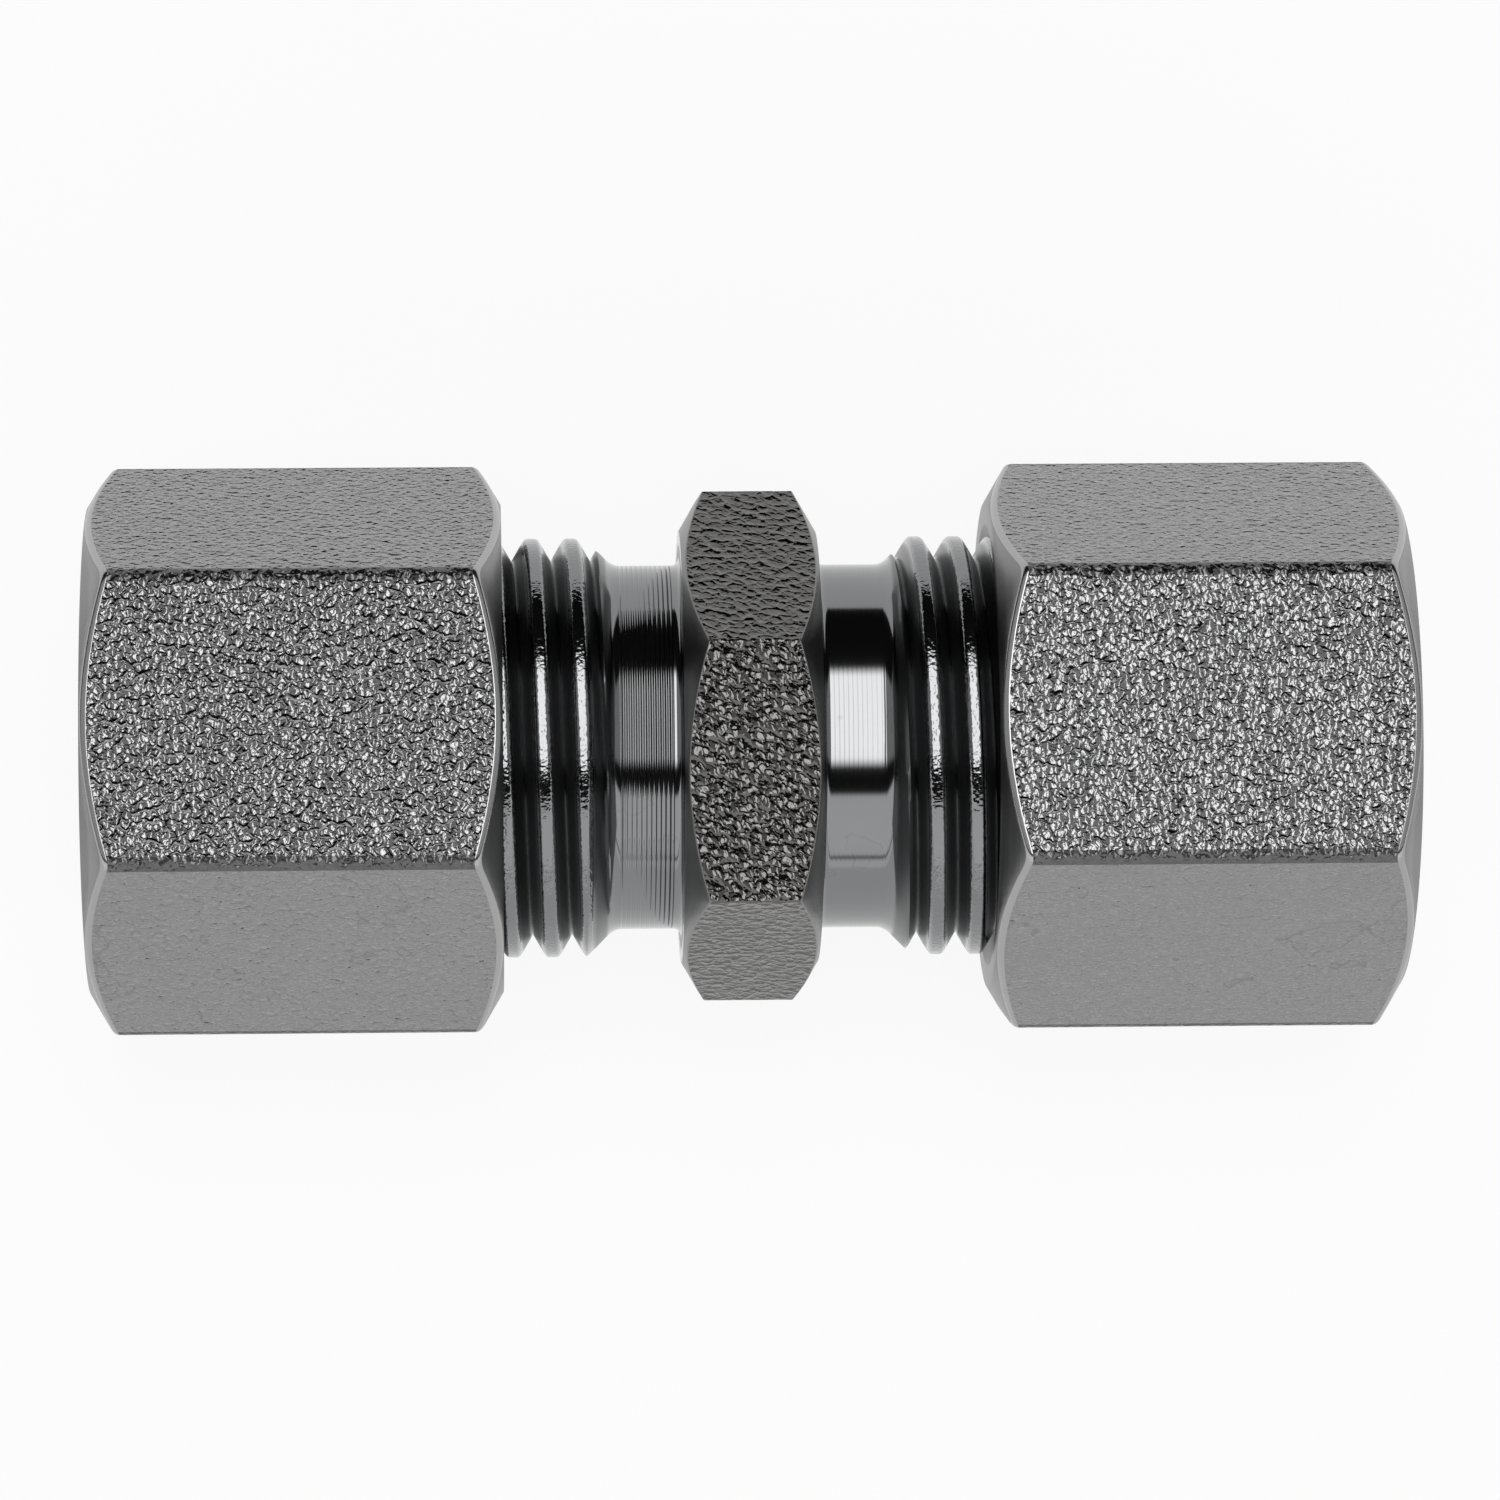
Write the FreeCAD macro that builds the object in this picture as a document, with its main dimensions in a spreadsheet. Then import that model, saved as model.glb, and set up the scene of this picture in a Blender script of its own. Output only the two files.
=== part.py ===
import FreeCAD, Part
import os
import re
import Sketcher

# Straight compression union for a 10 mm tube: a hexagon body with a threaded stem at each end, and on
# each stem a loosened union nut that holds its cutting ring. The axis lies along X, the origin is the
# centre of the body, and +Z is up, square to the flats that both nuts rest on. Millimetres, degrees.
# The threads are plain here: a stem is as wide as its crests, a nut as wide as its grooves.

doc = FreeCAD.newDocument("compression_union")
sheet = doc.addObject("Spreadsheet::Sheet", "sizes")

driving = [
    # radial: the tube, what clears it, and the walls from it outwards
    ("tube_diameter", 10.0),
    ("socket_clearance", 0.1),
    ("ring_clearance", 0.08),
    ("nut_hole_clearance", 0.15),
    ("stop_lip", 1.0),
    ("stem_wall", 3.0),
    ("body_rim", 0.5),
    ("nut_wall", 1.5),
    # thread, the same on both sides
    ("thread_pitch", 1.5),
    ("thread_angle", 60.0),
    ("thread_crest", 0.19),
    ("thread_root", 0.25),
    ("thread_play", 0.15),
    ("nut_ridge_clearance", 0.11),
    # body
    ("body_length", 27.0),
    ("body_width", 5.2),
    ("body_turn", 13.35),
    ("body_end_inset", 0.25),
    ("neck_relief", 0.14),
    ("neck_length", 2.55),
    ("neck_corner", 0.3),
    ("shoulder_angle", 45.0),
    ("stem_chamfer", 0.9),
    ("cone_length", 4.94),
    ("cone_angle", 24.0),
    ("socket_length", 2.06),
    # nuts
    ("nut_engagement", 4.37),
    ("nut_end_inset", 0.2),
    ("nut_collar", 3.0),
    ("nut_shoulder_angle", 90.0),
    ("nut_mouth_chamfer", 0.3),
    ("nut_hole_chamfer", 0.4),
    # slope of the turned chamfers on the hexagons, to their end faces
    ("chamfer_angle", 30.0),
    # cutting rings
    ("ring_length", 9.5),
    ("ring_insertion", 1.72),
    ("ring_nose_wall", 0.42),
    ("ring_nose_length", 3.4),
    ("ring_nose_taper", 8.0),
    ("ring_collar_gap", 0.74),
    ("ring_collar_slope", 45.0),
    ("ring_rear_wall", 0.57),
    ("ring_seat_gap", 0.05),
    ("ring_edge_length", 0.9),
    ("ring_groove_length", 0.6),
    ("ring_groove_depth", 0.25),
]

# Worked out from the driving sizes. Places along the axis run outwards from the body's centre, and
# those inside a nut or a ring run outwards from its own inner end. The left nut stands one flat, a
# sixth of a turn, further out than the right one.
derived = [
    ("tube_radius", "tube_diameter / 2"),
    ("socket_radius", "tube_radius + socket_clearance"),
    ("flow_radius", "tube_radius - stop_lip"),
    ("thread_radius", "tube_radius + stem_wall"),
    ("body_flats", "2 * (thread_radius + body_rim)"),
    ("nut_flats", "2 * (thread_radius + nut_wall)"),
    ("thread_depth", "(thread_pitch - thread_crest - thread_root) / 2 / tan(thread_angle / 2)"),
    ("root_radius", "thread_radius - thread_depth"),
    ("neck_radius", "root_radius - neck_relief"),
    ("body_side", "body_width / 2"),
    ("shoulder_start", "body_side + neck_length"),
    ("shoulder_end", "shoulder_start + (thread_radius - neck_radius) / tan(shoulder_angle)"),
    ("stem_end", "body_length / 2"),
    ("cone_end", "stem_end - cone_length"),
    ("mouth_radius", "socket_radius + cone_length * tan(cone_angle / 2)"),
    ("stop_at", "cone_end - socket_length"),
    ("ring_bore_radius", "tube_radius + ring_clearance"),
    ("ring_nose_radius", "ring_bore_radius + ring_nose_wall"),
    ("ring_neck_radius", "ring_nose_radius + ring_nose_length * tan(ring_nose_taper)"),
    ("ring_rear_radius", "ring_bore_radius + ring_rear_wall"),
    ("nut_hole_radius", "tube_radius + nut_hole_clearance"),
    ("nut_thread_radius", "thread_radius + thread_play"),
    ("nut_ridge_radius", "root_radius + nut_ridge_clearance"),
    ("ring_collar_radius", "nut_ridge_radius - ring_collar_gap"),
    ("shoulder_slope", "tan(nut_shoulder_angle / 2)"),
    ("ring_rear_in_nut", "nut_engagement - ring_insertion + ring_length"),
    ("shoulder_reach", "(ring_rear_radius - nut_hole_radius) / shoulder_slope"),
    ("nut_shoulder_end", "ring_rear_in_nut + ring_seat_gap + shoulder_reach"),
    ("nut_shoulder_start", "nut_shoulder_end - (nut_thread_radius - nut_hole_radius) / shoulder_slope"),
    ("nut_length", "nut_shoulder_end + nut_collar"),
    ("right_nut_at", "stem_end - nut_engagement"),
    ("left_nut_at", "right_nut_at + thread_pitch / 6"),
]

for row, (alias, value) in enumerate(driving, start=1):
    sheet.set("A" + str(row), alias)
    sheet.set("B" + str(row), str(value))
    sheet.setAlias("B" + str(row), alias)
for row, (alias, formula) in enumerate(derived, start=1):
    sheet.set("C" + str(row), alias)
    sheet.set("D" + str(row), "=" + formula)
    sheet.setAlias("D" + str(row), alias)
doc.recompute()

size_names = re.compile(r"\b(" + "|".join(alias for alias, value in driving + derived) + r")\b")


def with_sheet(formula):
    return size_names.sub(r"sizes.\1", formula)


def read(formula):
    return float(sheet.evalExpression(with_sheet(formula)))


def bind(thing, prop, formula):
    thing.setExpression(prop, with_sheet(formula))


def origin_part(body, role):
    return next(feature for feature in body.Origin.OriginFeatures if feature.Role == role)


def outline(body, name, corners):
    # Closed polygon on the plane through the axis and +Z: corners are (along the axis, from the axis).
    sketch = body.newObject("Sketcher::SketchObject", name)
    sketch.AttachmentSupport = (origin_part(body, "XZ_Plane"), [""])
    sketch.MapMode = "FlatFace"
    places = [(read(along), read(out)) for along, out in corners]
    for here, there in zip(places, places[1:] + places[:1]):
        sketch.addGeometry(Part.LineSegment(FreeCAD.Vector(*here), FreeCAD.Vector(*there)))
    for line, corner in enumerate(corners):
        before = (line - 1) % len(corners)
        sketch.addConstraint(Sketcher.Constraint("Coincident", before, 2, line, 1))
        for kind, formula, place in zip(("DistanceX", "DistanceY"), corner, places[line]):
            number = sketch.addConstraint(Sketcher.Constraint(kind, -1, 1, line, 1, place))
            bind(sketch, "Constraints[" + str(number) + "]", formula)
    return sketch


def turned(body, kind, name, corners):
    # Revolution or Groove of an outline about the axis.
    feature = body.newObject("PartDesign::" + kind, name)
    feature.Profile = outline(body, name + "_section", corners)
    feature.ReferenceAxis = (origin_part(body, "X_Axis"), [""])
    feature.Angle = 360
    return feature


def hexagon(body, name, flats, start, length, turn):
    # Prism across the axis. Before it is turned about the axis, two of its corners point along Y.
    prism = body.newObject("PartDesign::AdditivePrism", name)
    prism.Polygon = 6
    prism.AttachmentSupport = (origin_part(body, "YZ_Plane"), [""])
    prism.MapMode = "FlatFace"
    bind(prism, "Circumradius", flats + " / 2 / cos(30)")
    bind(prism, "Height", length)
    bind(prism, "AttachmentOffset.Base.z", start)
    bind(prism, "AttachmentOffset.Rotation.Angle", turn)


def end_chamfer(body, name, flats, inset, face, inwards):
    # Takes the hexagon's corners off outside a circle on its end face. inwards is "+" or "-".
    circle = flats + " / 2 - " + inset
    slope = face + " " + inwards + " (" + flats + " - (" + circle + ")) * tan(chamfer_angle)"
    turned(body, "Groove", name, [(face, circle), (face, flats), (slope, flats)])


def mirrored(corners):
    # The outline of the right half, and the same on the left, as one outline.
    return corners + [("-1 * (" + along + ")", out) for along, out in reversed(corners)]


def make_union_body():
    body = doc.addObject("PartDesign::Body", "union_body")
    turned(body, "Revolution", "barrel", mirrored([
        ("shoulder_start", "neck_radius"),
        ("shoulder_end", "thread_radius"),
        ("stem_end - stem_chamfer", "thread_radius"),
        ("stem_end", "thread_radius - stem_chamfer"),
        ("stem_end", "0"),
    ]))
    hexagon(body, "middle", "body_flats", "-body_side", "body_width", "body_turn")
    end_chamfer(body, "right_side", "body_flats", "body_end_inset", "body_side", "-")
    end_chamfer(body, "left_side", "body_flats", "body_end_inset", "-body_side", "+")
    doc.recompute()
    plain = body.Tip
    corner = body.newObject("PartDesign::Chamfer", "neck_corners")
    corner.Base = (plain, round_edges(plain.Shape, read("neck_radius"), read("body_side")))
    bind(corner, "Size", "neck_corner")
    turned(body, "Groove", "bore", mirrored([
        ("stop_at", "flow_radius"),
        ("stop_at", "socket_radius"),
        ("cone_end", "socket_radius"),
        ("stem_end", "mouth_radius"),
        ("stem_end", "0"),
    ]))
    return body


def round_edges(shape, radius, distance):
    # Names of the circles of one radius about the axis, at one distance to each side of the centre.
    names = []
    for number, edge in enumerate(shape.Edges, start=1):
        if not isinstance(edge.Curve, Part.Circle) or abs(edge.Curve.Radius - radius) > 1e-6:
            continue
        if abs(abs(edge.Curve.Center.x) - distance) < 1e-6:
            names.append("Edge" + str(number))
    return names


def make_nut(name, side, place):
    body = doc.addObject("PartDesign::Body", name)
    hexagon(body, name + "_hexagon", "nut_flats", "0", "nut_length", "0")
    end_chamfer(body, name + "_inner_end", "nut_flats", "nut_end_inset", "0", "+")
    end_chamfer(body, name + "_outer_end", "nut_flats", "nut_end_inset", "nut_length", "-")
    # The thread's bore runs on as its relief, up to the shoulder that the ring's rear seats on.
    turned(body, "Groove", name + "_inside", [
        ("0", "0"),
        ("0", "nut_thread_radius + nut_mouth_chamfer"),
        ("nut_mouth_chamfer", "nut_thread_radius"),
        ("nut_shoulder_start", "nut_thread_radius"),
        ("nut_shoulder_end", "nut_hole_radius"),
        ("nut_length - nut_hole_chamfer", "nut_hole_radius"),
        ("nut_length", "nut_hole_radius + nut_hole_chamfer"),
        ("nut_length", "0"),
    ])
    set_outwards(body, side, place)
    return body


def make_ring(name, side, nut_place):
    body = doc.addObject("PartDesign::Body", name)
    # Two cutting edges: the nose, and the steep end of a groove that deepens towards it.
    groove_end = "ring_edge_length + ring_groove_length"
    collar_start = "ring_nose_length + (ring_collar_radius - ring_neck_radius) / tan(ring_collar_slope)"
    # The rear slopes as the nut's shoulder does, so that it seats on it all round.
    collar_end = "ring_length - (ring_collar_radius - ring_rear_radius) / shoulder_slope"
    turned(body, "Revolution", name + "_turning", [
        ("0", "ring_bore_radius"),
        ("0", "ring_nose_radius"),
        ("ring_nose_length", "ring_neck_radius"),
        (collar_start, "ring_collar_radius"),
        (collar_end, "ring_collar_radius"),
        ("ring_length", "ring_rear_radius"),
        ("ring_length", "ring_bore_radius"),
        (groove_end, "ring_bore_radius"),
        (groove_end, "ring_bore_radius + ring_groove_depth"),
        ("ring_edge_length", "ring_bore_radius"),
    ])
    set_outwards(body, side, nut_place + " + ring_rear_in_nut - ring_length")
    return body


def set_outwards(body, side, place):
    # A piece of the left side is the same piece turned half round about Z.
    half_turn = FreeCAD.Rotation(FreeCAD.Vector(0, 0, 1), 0 if side > 0 else 180)
    body.Placement = FreeCAD.Placement(FreeCAD.Vector(), half_turn)
    bind(body, "Placement.Base.x", place if side > 0 else "-1 * (" + place + ")")


parts = [make_union_body()]
for word, side in (("right", 1), ("left", -1)):
    nut_place = word + "_nut_at"
    parts.append(make_nut(word + "_nut", side, nut_place))
    parts.append(make_ring(word + "_cutting_ring", side, nut_place))
doc.recompute()

for thing in doc.Objects:
    if "Invalid" in thing.State or "Error" in thing.State:
        raise RuntimeError(thing.Label + " failed: " + ", ".join(thing.State))
for part in parts:
    if part.Shape.isNull() or not part.Shape.isValid() or len(part.Shape.Solids) != 1:
        raise RuntimeError(part.Label + " isn't one valid solid")

os.makedirs("parts", exist_ok=True)
for part in parts:
    part.Shape.exportStep("parts/" + part.Label + ".step")
    print(part.Label, round(part.Shape.Volume, 2), "mm3")
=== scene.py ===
import math

import bpy
from mathutils import Matrix, Vector


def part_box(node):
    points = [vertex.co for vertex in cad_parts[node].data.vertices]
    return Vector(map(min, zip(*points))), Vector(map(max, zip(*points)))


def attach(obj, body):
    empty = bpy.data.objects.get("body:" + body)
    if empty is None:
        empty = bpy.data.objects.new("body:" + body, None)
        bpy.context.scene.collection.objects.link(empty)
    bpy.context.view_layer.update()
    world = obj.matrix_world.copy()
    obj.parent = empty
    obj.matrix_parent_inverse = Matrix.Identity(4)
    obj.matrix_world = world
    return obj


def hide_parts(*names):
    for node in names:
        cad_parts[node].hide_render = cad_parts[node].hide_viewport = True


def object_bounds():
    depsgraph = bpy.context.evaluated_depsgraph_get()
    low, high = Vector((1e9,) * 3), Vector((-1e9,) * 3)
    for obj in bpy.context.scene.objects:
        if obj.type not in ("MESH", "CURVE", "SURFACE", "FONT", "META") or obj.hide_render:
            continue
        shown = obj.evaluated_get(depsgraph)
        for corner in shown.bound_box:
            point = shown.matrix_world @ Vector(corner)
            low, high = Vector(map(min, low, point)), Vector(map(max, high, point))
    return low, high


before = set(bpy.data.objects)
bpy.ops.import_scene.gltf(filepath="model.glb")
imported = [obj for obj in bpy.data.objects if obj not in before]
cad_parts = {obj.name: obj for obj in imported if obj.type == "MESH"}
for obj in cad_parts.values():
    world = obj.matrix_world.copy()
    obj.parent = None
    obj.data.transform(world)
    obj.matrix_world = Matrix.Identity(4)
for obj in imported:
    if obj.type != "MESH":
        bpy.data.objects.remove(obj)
cadLow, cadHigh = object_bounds()
print("frame loaded:", ", ".join(sorted(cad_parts)))

mm = 0.001


def fromHex(code):
    # sRGB hex to the linear colour that a shader takes
    channels = [int(code[i:i + 2], 16) / 255 for i in (1, 3, 5)]
    linear = [c / 12.92 if c <= 0.04045 else ((c + 0.055) / 1.055) ** 2.4 for c in channels]
    return (*linear, 1.0)


def addNode(tree, kind, settings=None, links=None):
    # settings go to the node itself where it has that name, and otherwise to its inputs
    node = tree.nodes.new(kind)
    for name, value in (settings or {}).items():
        if isinstance(name, str) and hasattr(node, name):
            setattr(node, name, value)
        else:
            node.inputs[name].default_value = value
    for name, source in (links or {}).items():
        tree.links.new(source, node.inputs[name])
    return node


def setRamp(node, stops):
    # stops are (place, grey) from left to right
    ramp = node.color_ramp
    while len(ramp.elements) < len(stops):
        ramp.elements.new(0.5)
    for element, (place, grey) in zip(ramp.elements, stops):
        element.position = place
        element.color = (grey, grey, grey, 1)


# Camera
camera = {
    "distance": 300 * mm,
    "pixelsPerMm": 26.14,      # at the axis of the tubes
    "frameWidth": 1500,
    "sensor": 36.0,
    "tilt": 7.1,               # degrees, the nuts' upper flats lean this much towards the picture's top
    "yaw": 2.0,                # the right end is the farther one
    "roll": 0.4,
    "offset": (-2.5, -3.5),    # pixels, where the origin falls from the picture's middle, right and down
}


def setCamera():
    turn = (
        Matrix.Rotation(math.radians(camera["roll"]), 4, "Z")
        @ Matrix.Rotation(math.radians(camera["yaw"]), 4, "Y")
        @ Matrix.Rotation(math.radians(-camera["tilt"]), 4, "X")
    )
    data = bpy.data.cameras.new("camera")
    data.sensor_width = camera["sensor"]
    focalPixels = camera["pixelsPerMm"] * camera["distance"] / mm
    data.lens = focalPixels / camera["frameWidth"] * camera["sensor"]
    data.shift_x = -camera["offset"][0] / camera["frameWidth"]
    data.shift_y = camera["offset"][1] / camera["frameWidth"]
    data.clip_start = 10 * mm
    holder = bpy.data.objects.new("camera", data)
    bpy.context.scene.collection.objects.link(holder)
    holder.matrix_world = turn.inverted() @ Matrix.Translation((0, 0, camera["distance"]))
    bpy.context.scene.camera = holder


setCamera()
print("camera set")

# Studio light, all of it in the world: a panel above and a wall. Angles are from straight up, in degrees,
# positive towards +Y.
studio = {
    "panel": 3.7,
    "panelEdges": (-18, 41),
    "panelHalf": 10,           # degrees that the panel's bright middle reaches to each side along X
    "panelTail": 0.14,         # share of its light beyond that
    "panelSoft": 3.0,          # degrees to each side of an edge over which the light fades
    "wall": 1.25,
    "wallEdges": ((-95, -83.6), (-81.2, -38)),      # with a dark gap between them
    "wallSoft": 0.8,
    "dark": 0.012,             # what comes from everywhere else
}


def setLight():
    world = bpy.data.worlds.new("studio")
    bpy.context.scene.world = world
    world.use_nodes = True
    tree = world.node_tree
    tree.nodes.clear()
    direction = addNode(tree, "ShaderNodeTexCoord")
    parts = addNode(tree, "ShaderNodeSeparateXYZ", links={0: direction.outputs["Generated"]})
    angle = addNode(tree, "ShaderNodeMath", {"operation": "ARCTAN2"},
                    {0: parts.outputs["Y"], 1: parts.outputs["Z"]})
    place = addNode(tree, "ShaderNodeMapRange", {"From Min": -math.pi, "From Max": math.pi},
                    {"Value": angle.outputs[0]})

    def addBands(edges, soft):
        bands = addNode(tree, "ShaderNodeValToRGB", links={"Fac": place.outputs["Result"]})
        stops = []
        for low, high in edges:
            stops += [(low - soft, 0), (low + soft, 1), (high - soft, 1), (high + soft, 0)]
        setRamp(bands, [(degrees / 360 + 0.5, grey) for degrees, grey in stops])
        return bands.outputs["Color"]

    soft = studio["panelSoft"]
    panel = addBands((studio["panelEdges"],), soft)
    sideways = addNode(tree, "ShaderNodeMath", {"operation": "ABSOLUTE"}, {0: parts.outputs["X"]})
    ends = [math.sin(math.radians(studio["panelHalf"] + step)) for step in (-soft, soft)]
    reach = addNode(tree, "ShaderNodeMapRange", {
        "interpolation_type": "SMOOTHSTEP", "From Min": ends[0], "From Max": ends[1],
        "To Min": studio["panel"], "To Max": studio["panel"] * studio["panelTail"],
    }, {"Value": sideways.outputs[0]})
    wall = addNode(tree, "ShaderNodeMath", {
        "operation": "MULTIPLY_ADD", 1: studio["wall"], 2: studio["dark"],
    }, {0: addBands(studio["wallEdges"], studio["wallSoft"])})
    both = addNode(tree, "ShaderNodeMath", {"operation": "MULTIPLY_ADD"},
                   {0: panel, 1: reach.outputs["Result"], 2: wall.outputs[0]})
    light = addNode(tree, "ShaderNodeBackground", {"Color": (1, 1, 1, 1)}, {"Strength": both.outputs[0]})
    addNode(tree, "ShaderNodeOutputWorld", links={"Surface": light.outputs[0]})


# Floor: a matte sheet that the nuts lie on, which the camera and the metal see nearly white
floorSheet = {
    "size": 3.0,
    "colour": "#f4f4f4",
    "white": 0.90,             # share of plain white that they see in it
}


def layFloor():
    bpy.ops.object.select_all(action="DESELECT")
    bpy.ops.mesh.primitive_plane_add(size=floorSheet["size"], location=(0, 0, cadLow.z))
    floor = bpy.context.object
    floor.name = "floor"
    paint = bpy.data.materials.new("floorPaint")
    paint.use_nodes = True
    tree = paint.node_tree
    tree.nodes.clear()
    matte = addNode(tree, "ShaderNodeBsdfDiffuse", {"Color": fromHex(floorSheet["colour"])})
    white = addNode(tree, "ShaderNodeEmission", {"Color": (1, 1, 1, 1), "Strength": 1.0})
    path = addNode(tree, "ShaderNodeLightPath")
    straight = addNode(tree, "ShaderNodeMath", {"operation": "MAXIMUM"},
                       {0: path.outputs["Is Camera Ray"], 1: path.outputs["Is Glossy Ray"]})
    seen = addNode(tree, "ShaderNodeMath", {"operation": "MULTIPLY", 1: floorSheet["white"]},
                   {0: straight.outputs[0]})
    both = addNode(tree, "ShaderNodeMixShader",
                   links={0: seen.outputs[0], 1: matte.outputs[0], 2: white.outputs[0]})
    addNode(tree, "ShaderNodeOutputMaterial", links={"Surface": both.outputs[0]})
    floor.data.materials.append(paint)


setLight()
layFloor()
print("studio set")


# Steel finishes. Patterns read Object coordinates, which are metres in the part's own frame.
def startSteel(name, colour, roughness):
    steel = bpy.data.materials.new(name)
    steel.use_nodes = True
    tree = steel.node_tree
    shader = tree.nodes["Principled BSDF"]
    shader.inputs["Base Color"].default_value = fromHex(colour)
    shader.inputs["Metallic"].default_value = 1.0
    shader.inputs["Roughness"].default_value = roughness
    where = addNode(tree, "ShaderNodeTexCoord")
    return steel, tree, shader, where.outputs["Object"]


# Stains on every finish: slow changes of the plating's grey, with thin darker outlines where drops have
# dried. Places are in the noise's own range, from 0 to 1.
stains = {
    "detail": 3.0,
    "low": (0.3, 0.97),        # place and share of the plating's colour
    "high": (0.8, 0.95),
    "outside": 1.0,            # shares just outside and inside a dried outline
    "inside": 0.99,
    "outlineHalf": 0.012,
}


def addStains(tree, shader, where, finish):
    cloud = addNode(tree, "ShaderNodeTexNoise", {
        "Scale": 1 / (finish["stainSize"] * mm), "Detail": stains["detail"],
    }, {"Vector": where})
    outline = addNode(tree, "ShaderNodeValToRGB", links={"Fac": cloud.outputs["Fac"]})
    edge, half = finish["stainEdge"], stains["outlineHalf"]
    setRamp(outline, [
        stains["low"],
        (edge - half, stains["outside"]),
        (edge, 1 - finish["stainDepth"]),
        (edge + half, stains["inside"]),
        stains["high"],
    ])
    # the colour inputs of a Mix node are 6 and 7
    tint = addNode(tree, "ShaderNodeMix", {"data_type": "RGBA", "blend_type": "MULTIPLY", 0: 1.0})
    tint.inputs[6].default_value = fromHex(finish["colour"])
    tree.links.new(outline.outputs["Color"], tint.inputs[7])
    tree.links.new(tint.outputs[2], shader.inputs["Base Color"])


# Zinc plated over a blasted hexagon bar: small uneven craters that meet in ridges, each with a bright spot
# where it mirrors the light, and finer grit between. Spacing, height and grit are in millimetres, and a
# crater's rim is height / 4 deep at half its spacing. The craters' grid is turned out of line with every
# flat, because it would show in rows.
blasting = {
    "uneven": 0.8,             # spacings that a crater's outline drifts at most, as no two hits are alike
    "gritScale": 2.2,          # grains to a spacing
    "gridTurn": (0.6, 0.4, 0.2),       # radians
}
nutFlats = {
    "colour": "#8b8b8b", "roughness": 0.15,
    "spacing": 0.25, "height": {"left": 0.115, "right": 0.088}, "grit": 0.020, "slant": 0, "stretch": 1.0,
    "stainSize": 3.2, "stainEdge": 0.62, "stainDepth": 0.22,
}
# The drawn bar's rounded corners are duller, and painted darker: a painted shade for the dark band they
# mirror
nutCornersPaintedShade = {
    "colour": "#626262", "roughness": 0.24,
    "spacing": 0.25, "height": 0.088, "grit": 0.012, "slant": 0, "stretch": 1.0,
    "stainSize": 3.2, "stainEdge": 0.62, "stainDepth": 0.22,
}
# The body's own bar is darker, with longer craters that slant across it, in degrees
bodyFlats = {
    "colour": "#605f5e", "roughness": 0.11,
    "spacing": 0.29, "height": 0.077, "grit": 0.020, "slant": 55, "stretch": 1.35,
    "stainSize": 4.0, "stainEdge": 0.66, "stainDepth": 0.12,
}


def addRelief(tree, shader, height, pattern):
    raised = addNode(tree, "ShaderNodeBump", {"Strength": 1.0, "Distance": height * mm}, {"Height": pattern})
    tree.links.new(raised.outputs["Normal"], shader.inputs["Normal"])


def makeBlasted(name, finish, height):
    steel, tree, shader, where = startSteel(name, finish["colour"], finish["roughness"])
    turned = addNode(tree, "ShaderNodeMapping", {"Rotation": (0, 0, math.radians(finish["slant"]))},
                     {"Vector": where})
    size = 1 / (finish["spacing"] * mm)
    scaled = addNode(tree, "ShaderNodeMapping", {
        "Scale": (size / finish["stretch"], size, size), "Rotation": blasting["gridTurn"],
    }, {"Vector": turned.outputs[0]}).outputs[0]
    drift = addNode(tree, "ShaderNodeTexNoise", {"Scale": 1.0, "Detail": 0.0}, {"Vector": scaled})
    bent = addNode(tree, "ShaderNodeVectorMath", {"operation": "MULTIPLY_ADD", 1: (blasting["uneven"],) * 3},
                   {0: drift.outputs["Color"], 2: scaled})
    craters = addNode(tree, "ShaderNodeTexVoronoi", {"Scale": 1.0}, {"Vector": bent.outputs[0]})
    away = craters.outputs["Distance"]
    bowl = addNode(tree, "ShaderNodeMath", {"operation": "MULTIPLY"}, {0: away, 1: away})
    grit = addNode(tree, "ShaderNodeTexNoise", {"Scale": blasting["gritScale"], "Detail": 1.0},
                   {"Vector": scaled})
    fine = addNode(tree, "ShaderNodeMath", {"operation": "MULTIPLY", 1: finish["grit"]},
                   {0: grit.outputs["Fac"]})
    relief = addNode(tree, "ShaderNodeMath", {"operation": "MULTIPLY_ADD", 1: height},
                     {0: bowl.outputs[0], 2: fine.outputs[0]})
    addRelief(tree, shader, 1.0, relief.outputs[0])
    addStains(tree, shader, where, finish)
    return steel


# Zinc plated over turned steel: chamfers and end faces, smooth and satin. A line is one pass of the tool, in
# millimetres, and is drawn as coarse as it needs to show.
turnedEnds = {
    "colour": "#838383", "roughness": 0.34, "line": 0.12, "height": 0.005,
    "stainSize": 3.0, "stainEdge": 0.64, "stainDepth": 0.08,
}
# The edges between a nut's flats and its chamfers are painted brighter, a painted highlight
paintedHighlightEdges = {
    "colour": "#a4a4a4", "roughness": 0.20, "line": 0.12, "height": 0.003,
    "stainSize": 3.0, "stainEdge": 0.64, "stainDepth": 0.05,
}
# The cutting rings are hardened and plated a little darker
ringSteel = {
    "colour": "#8a8987", "roughness": 0.22, "line": 0.15, "height": 0.008,
    "stainSize": 2.5, "stainEdge": 0.66, "stainDepth": 0.06,
}
changesRound = 30              # to a metre round the axis, which is hardly any along a line


def makeTurned(name, finish):
    steel, tree, shader, where = startSteel(name, finish["colour"], finish["roughness"])
    stretched = addNode(tree, "ShaderNodeMapping", {
        "Scale": (1 / (finish["line"] * mm), changesRound, changesRound),
    }, {"Vector": where})
    lines = addNode(tree, "ShaderNodeTexNoise", {"Scale": 1.0, "Detail": 1.0},
                    {"Vector": stretched.outputs[0]})
    addRelief(tree, shader, finish["height"], lines.outputs["Fac"])
    addStains(tree, shader, where, finish)
    return steel
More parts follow.
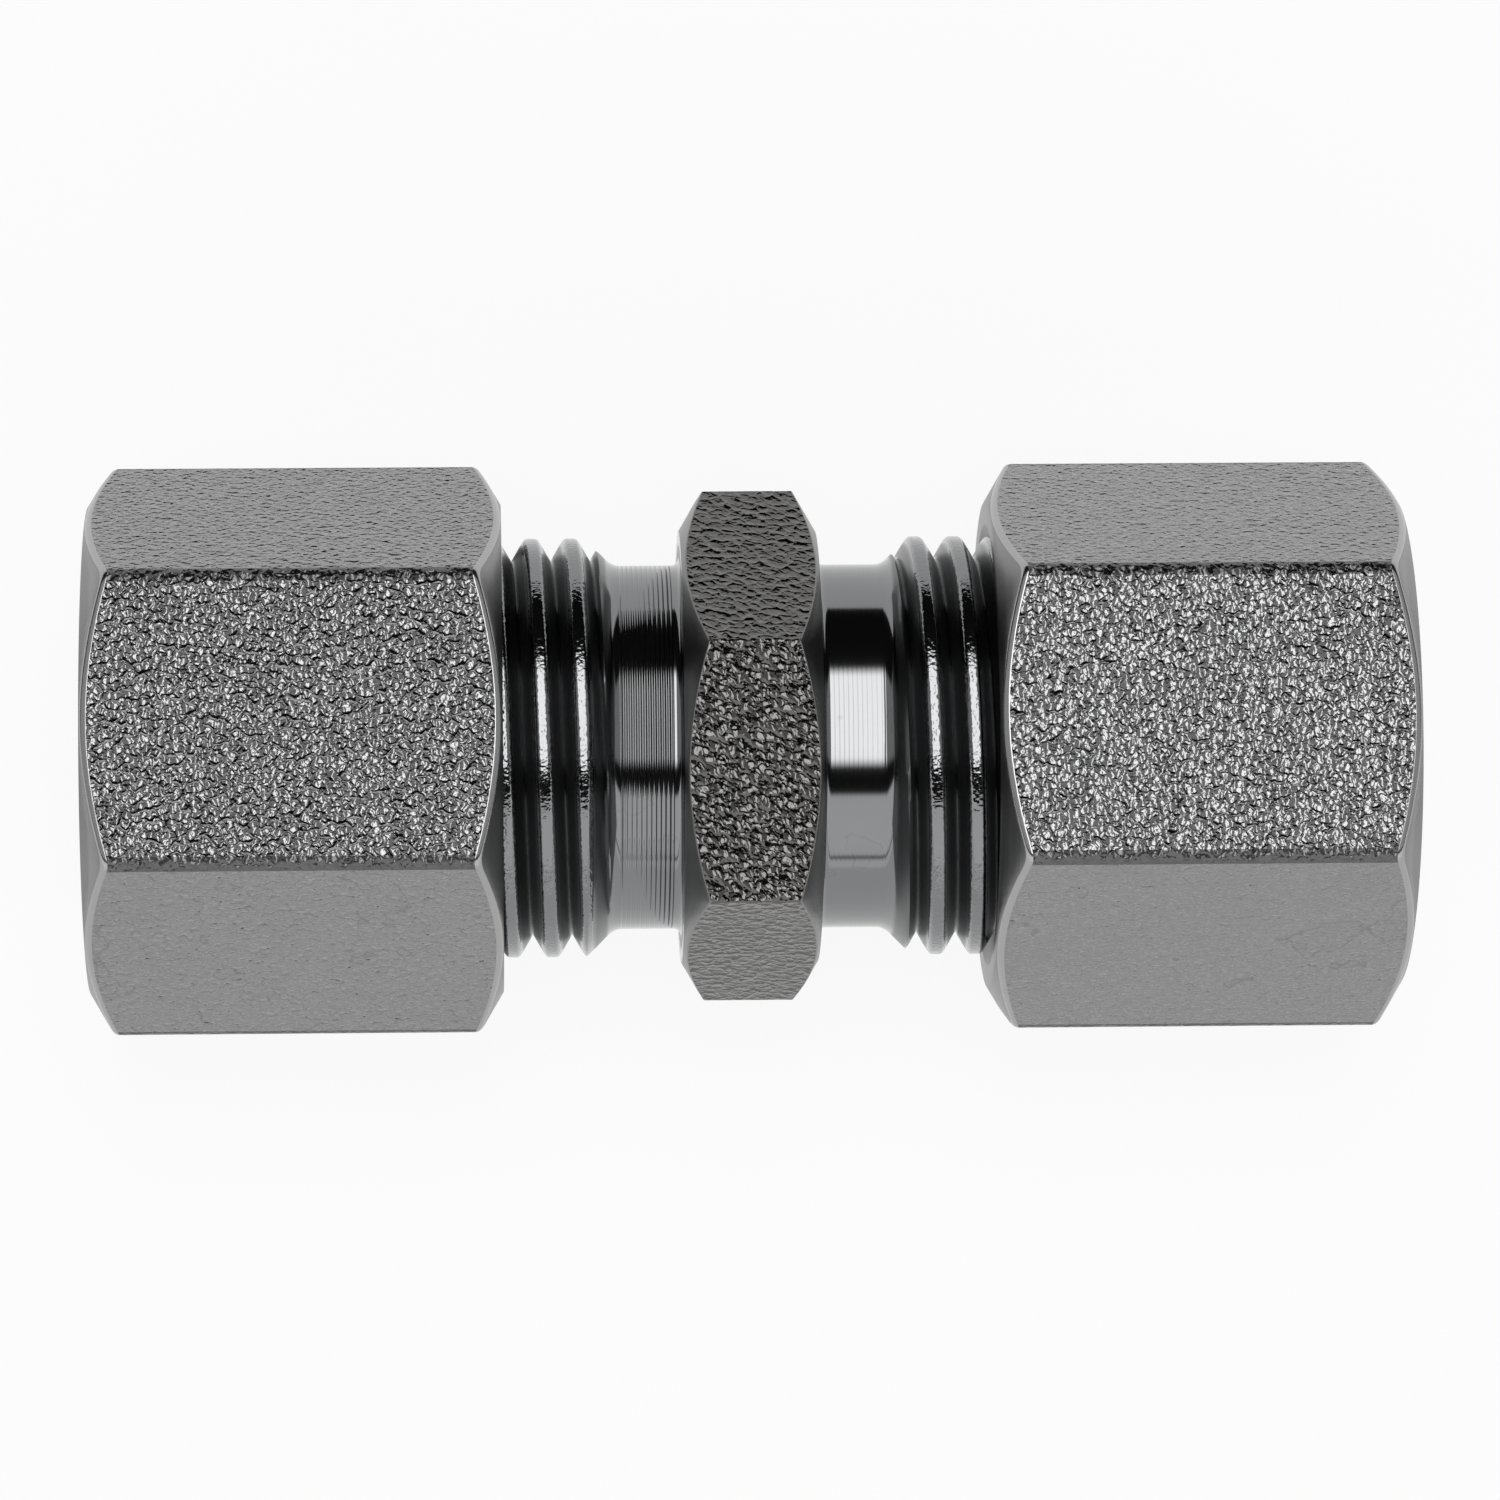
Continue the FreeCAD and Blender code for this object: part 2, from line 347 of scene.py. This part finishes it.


# Necks and threads are turned finer and keep a shine. The left neck has the rings of a worn tool. The
# threads' flanks are duller than their crests and roots and carry painted shade, and the crests are ragged
# from the cut.
turnedNecks = {
    "colour": "#808182", "roughness": 0.10,
    "line": 0.18, "lineWander": 1.5, "wanderScale": 0.3,
    "rings": ((-5.0, -2.95, 0.030), (2.95, 5.0, 0.003)),     # from, to (mm) and height of the tool's rings
    "ringFade": 0.06,
    "flankRadii": (7.12, 7.30, 7.62, 7.86),                  # where the flanks' painted shade starts and ends
    # the flanks' colour is multiplied by this share, a painted shade
    "flankPaintedShade": 0.60, "flankRoughness": 0.30,
    "crest": 7.80, "crestFade": 0.05, "crestGrain": 0.16, "crestHeight": 0.020,
    "stainSize": 2.5, "stainEdge": 0.64, "stainDepth": 0.10,
}


def makeNeck(name, finish):
    steel, tree, shader, where = startSteel(name, finish["colour"], finish["roughness"])
    addStains(tree, shader, where, finish)
    stained = shader.inputs["Base Color"].links[0].from_socket
    place = addNode(tree, "ShaderNodeSeparateXYZ", links={0: where})
    across = addNode(tree, "ShaderNodeCombineXYZ", links={"Y": place.outputs["Y"], "Z": place.outputs["Z"]})
    radius = addNode(tree, "ShaderNodeVectorMath", {"operation": "LENGTH"}, {0: across.outputs[0]})
    rootEnd, flankLow, flankHigh, crestStart = [out * mm for out in finish["flankRadii"]]

    def addStep(value, low, high, to=1.0):
        return addNode(tree, "ShaderNodeMapRange", {
            "interpolation_type": "SMOOTHSTEP", "From Min": low, "From Max": high, "To Max": to,
        }, {"Value": value}).outputs["Result"]

    def addProduct(one, other):
        return addNode(tree, "ShaderNodeMath", {"operation": "MULTIPLY"}, {0: one, 1: other}).outputs[0]

    out = radius.outputs["Value"]
    flank = addProduct(addStep(out, rootEnd, flankLow), addStep(out, crestStart, flankHigh))
    # painted shade: the flanks' colour is darkened by their share
    shade = addNode(tree, "ShaderNodeMix", {"data_type": "RGBA", "blend_type": "MULTIPLY"},
                    {0: flank, 6: stained})
    shade.inputs[7].default_value = (finish["flankPaintedShade"],) * 3 + (1,)
    tree.links.new(shade.outputs[2], shader.inputs["Base Color"])
    rough = addNode(tree, "ShaderNodeMapRange", {
        "To Min": finish["roughness"], "To Max": finish["flankRoughness"],
    }, {"Value": flank})
    tree.links.new(rough.outputs["Result"], shader.inputs["Roughness"])

    # a wave texture of scale 1 has a period of a tenth of pi
    rings = addNode(tree, "ShaderNodeTexWave", {
        "wave_type": "BANDS", "bands_direction": "X", "Scale": math.pi / 10 / (finish["line"] * mm),
        "Distortion": finish["lineWander"], "Detail": 1.0, "Detail Scale": finish["wanderScale"],
    }, {"Vector": place.outputs["X"]}).outputs["Fac"]
    ragged = addNode(tree, "ShaderNodeTexNoise", {"Scale": 1 / (finish["crestGrain"] * mm), "Detail": 1.0},
                     {"Vector": where}).outputs["Fac"]
    crest = finish["crest"] * mm
    height = addProduct(ragged, addStep(out, crest, crest + finish["crestFade"] * mm, finish["crestHeight"]))
    fade = finish["ringFade"] * mm
    for low, high, tall in finish["rings"]:
        start = addStep(place.outputs["X"], low * mm, low * mm + fade)
        end = addStep(place.outputs["X"], high * mm, high * mm - fade, tall)
        height = addNode(tree, "ShaderNodeMath", {"operation": "ADD"}, {
            0: height, 1: addProduct(rings, addProduct(start, end)),
        }).outputs[0]
    addRelief(tree, shader, 1.0, height)
    return steel


blastedNuts = {
    side: makeBlasted(side + "NutZincOverBlasting", nutFlats, nutFlats["height"][side])
    for side in ("left", "right")
}
# the corners' steel is painted darker, a painted shade
cornerSteelPaintedShade = makeBlasted("zincOverDrawnCornerPaintedShade", nutCornersPaintedShade, nutCornersPaintedShade["height"])
blastedBody = makeBlasted("zincOverBlastedBody", bodyFlats, bodyFlats["height"])
turnedSteel = makeTurned("zincOverTurnedSteel", turnedEnds)
# the edges' steel is painted brighter, a painted highlight
edgeSteelPaintedHighlight = makeTurned("zincOnEdgePaintedHighlight", paintedHighlightEdges)
neckSteel = makeNeck("zincOverTurnedNeck", turnedNecks)
cuttingRingSteel = makeTurned("platedRingSteel", ringSteel)
print("steel finishes made")


# Pieces. Outlines are (along the axis, from the axis) in millimetres, and are spun about the axis of the
# tubes. A piece's parts have their columns of points in line, so that they join without a seam.
columns = 144
mergeDistance = 0.0005 * mm


def fromAxis(point):
    return math.hypot(point.y, point.z)


def selectOnly(*pieces):
    bpy.ops.object.select_all(action="DESELECT")
    for piece in pieces:
        piece.select_set(True)
    bpy.context.view_layer.objects.active = pieces[0]


def mergePoints(piece):
    selectOnly(piece)
    bpy.ops.object.mode_set(mode="EDIT")
    bpy.ops.mesh.select_all(action="SELECT")
    bpy.ops.mesh.remove_doubles(threshold=mergeDistance)
    bpy.ops.object.mode_set(mode="OBJECT")


def spinOutline(name, points, turn=0.0, closed=False, pitch=0.0, turns=1):
    bpy.ops.object.select_all(action="DESELECT")
    bpy.ops.mesh.primitive_circle_add(vertices=len(points), radius=mm, fill_type="NOTHING")
    piece = bpy.context.object
    piece.name = name
    lean = math.radians(turn)
    for vertex, (along, out) in zip(piece.data.vertices, points):
        vertex.co = Vector((along, -out * math.sin(lean), out * math.cos(lean))) * mm
    if not closed:
        bpy.ops.object.mode_set(mode="EDIT")
        bpy.ops.mesh.select_mode(type="EDGE")
        bpy.ops.mesh.select_all(action="DESELECT")
        bpy.ops.object.mode_set(mode="OBJECT")
        for edge in piece.data.edges:
            edge.select = set(edge.vertices) == {0, len(points) - 1}
        bpy.ops.object.mode_set(mode="EDIT")
        bpy.ops.mesh.delete(type="EDGE")
        bpy.ops.object.mode_set(mode="OBJECT")
    spin = piece.modifiers.new("spin", "SCREW")
    spin.axis = "X"
    spin.angle = 2 * math.pi
    spin.steps = spin.render_steps = columns
    spin.screw_offset = pitch * mm
    spin.iterations = turns
    bpy.ops.object.modifier_apply(modifier=spin.name)
    mergePoints(piece)
    return piece


def joinParts(parts):
    selectOnly(*parts)
    bpy.ops.object.join()
    piece = parts[0]
    mergePoints(piece)
    bpy.ops.object.mode_set(mode="EDIT")
    bpy.ops.mesh.select_all(action="SELECT")
    bpy.ops.mesh.dissolve_degenerate(threshold=mergeDistance)
    bpy.ops.mesh.select_all(action="SELECT")
    bpy.ops.mesh.normals_make_consistent(inside=False)
    bpy.ops.object.mode_set(mode="OBJECT")
    return piece


def arc(middle, radius, start, end, count=5):
    # angles in degrees, from along the axis towards outwards
    steps = [math.radians(start + (end - start) * i / count) for i in range(count + 1)]
    return [(middle[0] + radius * math.cos(a), middle[1] + radius * math.sin(a)) for a in steps]


# Both sides of a hexagon are turned to the same chamfer, 30 degrees to the end face
chamferSlope = math.tan(math.radians(30))
sixth = math.radians(60)
rimSlack = 0.01                # mm that a point of the rim may lie inside the rim
millTilt = 0.02                # a milled face's normal leans less than this along the axis
millSlack = 0.1                # mm that its middle may lie nearer to the axis than the flat
arcSegments = 4                # across the rounding where a chamfer cuts a face


def hexagonRim(ends, hexagon):
    # the outline's rim, as wide as the rounded corners
    widest = (hexagon["flats"] / 2 - hexagon["rounding"]) / math.cos(sixth / 2) + hexagon["rounding"]
    circle = hexagon["flats"] / 2 - hexagon["inset"]
    slide = (widest - circle) * chamferSlope
    return [(ends[0], circle), (ends[0] + slide, widest), (ends[1] - slide, widest), (ends[1], circle)]


def millHexagon(piece, ends, hexagon):
    # each point of the rim slides down its chamfer to the hexagon, and the columns crowd at the corners
    flat, rounding, turn = hexagon["flats"] / 2, hexagon["rounding"], math.radians(hexagon["turn"])
    circle = flat - hexagon["inset"]
    corner = (flat - rounding) / math.cos(sixth / 2)       # to the middle of a corner's rounding
    roundingEnd = math.atan2(rounding / 2, corner + rounding * math.cos(sixth / 2))
    perSixth = columns // 6
    crowded = perSixth // 6                                # columns to each side of a corner's middle
    for vertex in piece.data.vertices:
        if fromAxis(vertex.co) / mm < corner + rounding - rimSlack:
            continue
        step = round((math.atan2(vertex.co.z, vertex.co.y) - turn) / (2 * math.pi) * columns)
        nearest = round(step / perSixth)
        column = step - nearest * perSixth
        if abs(column) <= crowded:
            away = abs(column) / crowded * roundingEnd
        else:
            share = (abs(column) - crowded) / (perSixth / 2 - crowded)
            away = roundingEnd + share * (sixth / 2 - roundingEnd)
        if abs(column) < crowded:
            out = corner * math.cos(away) + math.sqrt(rounding ** 2 - (corner * math.sin(away)) ** 2)
        else:
            out = flat / math.cos(sixth / 2 - away)
        place = nearest * sixth + math.copysign(away, column) + turn
        slide = (out - circle) * chamferSlope
        near = abs(vertex.co.x / mm - ends[0]) < abs(vertex.co.x / mm - ends[1])
        along = ends[0] + slide if near else ends[1] - slide
        vertex.co = Vector((along, out * math.cos(place), out * math.sin(place))) * mm


# M16 x 1.5. On the top line a ridge's middle lies at these distances from the centre of the body.
thread = {
    "pitch": 1.5,
    "slope": math.tan(math.radians(60)),
    "spare": 0.5,              # turns wound beyond each end, which are then cut to the blank
    "crestHalf": 0.24,
    "ridges": {"left": -6.40, "right": 6.74},
    "stem": {"wide": 8.0, "narrow": 7.082},
    "nut": {"wide": 8.15, "narrow": 7.192},
    "crestSoft": 0.18,         # how much of the flank's height the rounding of crest and root takes
    "rootSoft": 0.14,
    # from a ridge's middle to the next root: close together where the surface bends
    "stations": (
        0, 0.05, 0.09, 0.13, 0.17, 0.21, 0.25, 0.29, 0.33, 0.42, 0.52, 0.58, 0.63, 0.67, 0.71, 0.75,
    ),
}


def softMin(a, b, width):
    near = max(width - abs(a - b), 0) / width
    return min(a, b) - near * near * width / 4


def softMax(a, b, width):
    return -softMin(-a, -b, width)


def windThread(name, low, high, side, sizes, turn, cut):
    # cut(along, out) trims the endless thread to the turned blank that it was cut in
    pitch = thread["pitch"]
    half = thread["stations"]
    across = [-station for station in reversed(half)] + list(half[1:])
    points = []
    for away in across:
        flank = sizes["wide"] - (abs(away) - thread["crestHalf"]) * thread["slope"]
        crest = softMin(sizes["wide"], flank, thread["crestSoft"])
        points.append((away, softMax(sizes["narrow"], crest, thread["rootSoft"])))
    atStart = thread["ridges"][side] + pitch * turn / 360
    start = atStart - pitch * math.ceil((atStart - low) / pitch + thread["spare"])
    turns = math.ceil((high - start) / pitch + thread["spare"])
    piece = spinOutline(name, [(start + away, out) for away, out in points], turn, pitch=pitch, turns=turns)
    for vertex in piece.data.vertices:
        along = min(max(vertex.co.x / mm, low), high)
        out = fromAxis(vertex.co) / mm
        grow = cut(along, out) / out
        vertex.co = (along * mm, vertex.co.y * grow, vertex.co.z * grow)
    mergePoints(piece)
    return piece


def isMilled(face, hexagon):
    # one of the hexagon's six faces, or the rounding between two of them
    return abs(face.normal.x) < millTilt and fromAxis(face.center) > (hexagon["flats"] / 2 - millSlack) * mm


def roundArcs(piece, hexagon):
    # the arcs where the turned chamfers cut the hexagon's faces
    mesh = piece.data
    selectOnly(piece)
    bpy.ops.object.mode_set(mode="EDIT")
    bpy.ops.mesh.select_mode(type="EDGE")
    bpy.ops.mesh.select_all(action="DESELECT")
    bpy.ops.object.mode_set(mode="OBJECT")
    # leaving edit mode remakes the faces, so they are gathered only after it
    sides = {}
    for face in mesh.polygons:
        for key in face.edge_keys:
            sides.setdefault(key, []).append(face)
    count = 0
    for edge in mesh.edges:
        faces = sides.get(tuple(sorted(edge.vertices)), [])
        if len(faces) == 2 and isMilled(faces[0], hexagon) != isMilled(faces[1], hexagon):
            edge.select = True
            count += 1
    bpy.ops.object.mode_set(mode="EDIT")
    width = hexagon["arcRounding"]
    bpy.ops.mesh.bevel(offset=width * mm, segments=arcSegments, affect="EDGES", clamp_overlap=True)
    bpy.ops.object.mode_set(mode="OBJECT")
    print("  ", piece.name, "rounded", count, "edges at", width, "mm")


def finishPiece(piece, node, body, smoothAngle):
    selectOnly(piece)
    bpy.ops.object.shade_smooth_by_angle(angle=math.radians(smoothAngle))
    weigh = piece.modifiers.new("weigh", "WEIGHTED_NORMAL")
    weigh.keep_sharp = True
    bpy.ops.object.modifier_apply(modifier=weigh.name)
    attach(piece, body)
    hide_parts(node)


# Body: the hexagon, its necks, two threaded stems and the way through, in one piece
unionBody = {
    "length": 27.0,
    "width": 5.2,
    "hexagon": {"flats": 17.0, "inset": 0.25, "rounding": 0.15, "turn": 13.35, "arcRounding": 0.04},
    "neckRadius": 6.942,
    "neckFillet": 0.3,
    "shoulderStart": 5.15,
    "shoulderSoft": 0.3,
    "stemEnd": 7.06,           # radius of the stem's end face
    "mouth": 6.15,             # radius of the cone there
    "mouthRounding": 0.12,
    "coneSlope": math.tan(math.radians(12)),
    "cone": 4.94,              # depth, and then the socket's
    "socket": 2.06,
    "socketRadius": 5.1,
    "flowRadius": 4.0,
    "chamferFrom": 8.05,       # only the hexagon's chamfers lie further out than the threads
    "smoothAngle": 40,
}


def makeUnionBody(body):
    hexagon = body["hexagon"]
    side, end = body["width"] / 2, body["length"] / 2
    neck, fillet = body["neckRadius"], body["neckFillet"]
    threadStart = body["shoulderStart"] - body["shoulderSoft"]

    def cutStem(along, out):
        away = abs(along)
        shoulder = neck + away - body["shoulderStart"]
        nose = body["stemEnd"] + end - away
        return min(out, softMax(neck, shoulder, body["shoulderSoft"]), nose)

    foot = [(threadStart, neck)] + arc((side + fillet, neck + fillet), fillet, 270, 180)
    outside = [(-along, out) for along, out in foot] + hexagonRim((-side, side), hexagon) + foot[::-1]
    parts = [spinOutline("unionBody", outside, hexagon["turn"])]
    coneEnd = end - body["cone"]
    soft = body["mouthRounding"]
    way = [
        (end, body["stemEnd"]),
        (end, body["mouth"] + soft),
        (end - soft / 3, body["mouth"] + soft / 3),
        (end - soft, body["mouth"] - soft * body["coneSlope"]),
        (coneEnd, body["socketRadius"]),
        (coneEnd - body["socket"], body["socketRadius"]),
        (coneEnd - body["socket"], body["flowRadius"]),
    ]
    parts.append(spinOutline("way", way + [(-along, out) for along, out in reversed(way)], hexagon["turn"]))
    for word, low, high in (("left", -end, -threadStart), ("right", threadStart, end)):
        parts.append(windThread(word + "Stem", low, high, word, thread["stem"], hexagon["turn"], cutStem))
    millHexagon(parts[0], (-side, side), hexagon)
    piece = joinParts(parts)
    roundArcs(piece, hexagon)
    for steel in (blastedBody, turnedSteel, neckSteel):
        piece.data.materials.append(steel)
    for face in piece.data.polygons:
        if isMilled(face, hexagon):
            face.material_index = 0
        else:
            face.material_index = 1 if fromAxis(face.center) > body["chamferFrom"] * mm else 2
    finishPiece(piece, "union_body", "union", body["smoothAngle"])


makeUnionBody(unionBody)
print("union body made")

# Nuts: one shape, turned half round for the left side. Lengths run from a nut's inner end outwards.
unionNut = {
    "hexagon": {"flats": 19.0, "inset": 0.2, "rounding": 0.6, "turn": 0.0, "arcRounding": 0.17},
    "cornerPart": 0.7,         # share of a corner's rounding past which it has the corner's duller steel with its painted shade
    "edgeTilt": 0.8,           # the normal of an edge with painted highlight leans less than this along the axis, a chamfer's more
    "edgeFrom": 9.0,           # and it lies further out than this
    "mouthChamfer": 0.3,
    "threadEnd": 7.6,
    "shoulderStart": 9.70,
    "holeRadius": 5.15,
    "holeChamfer": 0.4,
    "smoothAngle": 32,
}


def makeNut(side, nut):
    node = side + "_nut"
    hexagon = nut["hexagon"]
    sign = 1 if side == "right" else -1
    low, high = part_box(node)
    inner = min(abs(low.x), abs(high.x)) / mm
    length = (high.x - low.x) / mm
    wide, hole = thread["nut"]["wide"], nut["holeRadius"]

    def cutBore(along, out):
        inside = abs(along) - inner
        mouth = wide - (inside - nut["mouthChamfer"])
        relief = wide - (nut["threadEnd"] - inside)
        return max(out, mouth, relief)

    outline = [
        (nut["threadEnd"], wide),
        (nut["shoulderStart"], wide),
        (nut["shoulderStart"] + wide - hole, hole),
        (length - nut["holeChamfer"], hole),
        (length, hole + nut["holeChamfer"]),
        *hexagonRim((0, length), hexagon)[::-1],
        (0, wide + nut["mouthChamfer"]),
        (nut["mouthChamfer"], wide),
    ]
    placed = [(sign * (inner + along), out) for along, out in outline]
    body = spinOutline(side + "Nut", placed, hexagon["turn"])
    millHexagon(body, sorted((sign * inner, sign * (inner + length))), hexagon)
    ends = sorted(sign * (inner + along) for along in (nut["mouthChamfer"], nut["threadEnd"]))
    bore = windThread(side + "NutThread", *ends, side, thread["nut"], hexagon["turn"], cutBore)
    piece = joinParts([body, bore])
    roundArcs(piece, hexagon)
    for steel in (blastedNuts[side], turnedSteel, cornerSteelPaintedShade, edgeSteelPaintedHighlight):
        piece.data.materials.append(steel)
    rounding = hexagon["rounding"]
    # past this the faces take the corner steel, painted darker as a painted shade
    cornerStart = (hexagon["flats"] / 2 - rounding) / math.cos(sixth / 2) + nut["cornerPart"] * rounding
    for face in piece.data.polygons:
        if not isMilled(face, hexagon):
            # edges between flats and chamfers take the steel painted brighter, a painted highlight
            isEdge = abs(face.normal.x) < nut["edgeTilt"] and fromAxis(face.center) > nut["edgeFrom"] * mm
            face.material_index = 3 if isEdge else 1
        elif fromAxis(face.center) > cornerStart * mm:
            face.material_index = 2
    finishPiece(piece, node, side + "_nut", nut["smoothAngle"])


# Cutting rings, as they lie in the nuts. Points are (from a ring's nose outwards, from the axis).
cuttingRing = {
    "bore": 5.08,
    "nose": ((0.0, 5.46), (0.04, 5.5)),
    "collar": ((3.4, 5.978), (3.88, 6.452), (8.72, 6.452)),      # its slope in front, and the top
    "rear": ((9.46, 5.70), (9.5, 5.62)),
    "rearChamfer": 0.04,
    "cut": (0.9, 1.5, 5.33),   # from, to and radius: a slope behind the front edge, up to the second one
    "smoothAngle": 28,
}


def makeRing(side, ring):
    node = side + "_cutting_ring"
    sign = 1 if side == "right" else -1
    low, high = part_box(node)
    nose = min(abs(low.x), abs(high.x)) / mm
    bore, length, soft = ring["bore"], ring["rear"][-1][0], ring["rearChamfer"]
    cutStart, cutEnd, cutRadius = ring["cut"]
    outline = [
        (0.0, bore), *ring["nose"], *ring["collar"], *ring["rear"],
        (length, bore + soft), (length - soft, bore),
        (cutEnd, bore), (cutEnd, cutRadius), (cutStart, bore),
    ]
    placed = [(sign * (nose + along), out) for along, out in outline]
    piece = joinParts([spinOutline(side + "CuttingRing", placed, closed=True)])
    piece.data.materials.append(cuttingRingSteel)
    finishPiece(piece, node, side + "_ring", ring["smoothAngle"])


for side in ("left", "right"):
    makeNut(side, unionNut)
    makeRing(side, cuttingRing)
print("nuts and cutting rings made")

bpy.context.scene.view_settings.view_transform = "Standard"

bpy.context.view_layer.update()
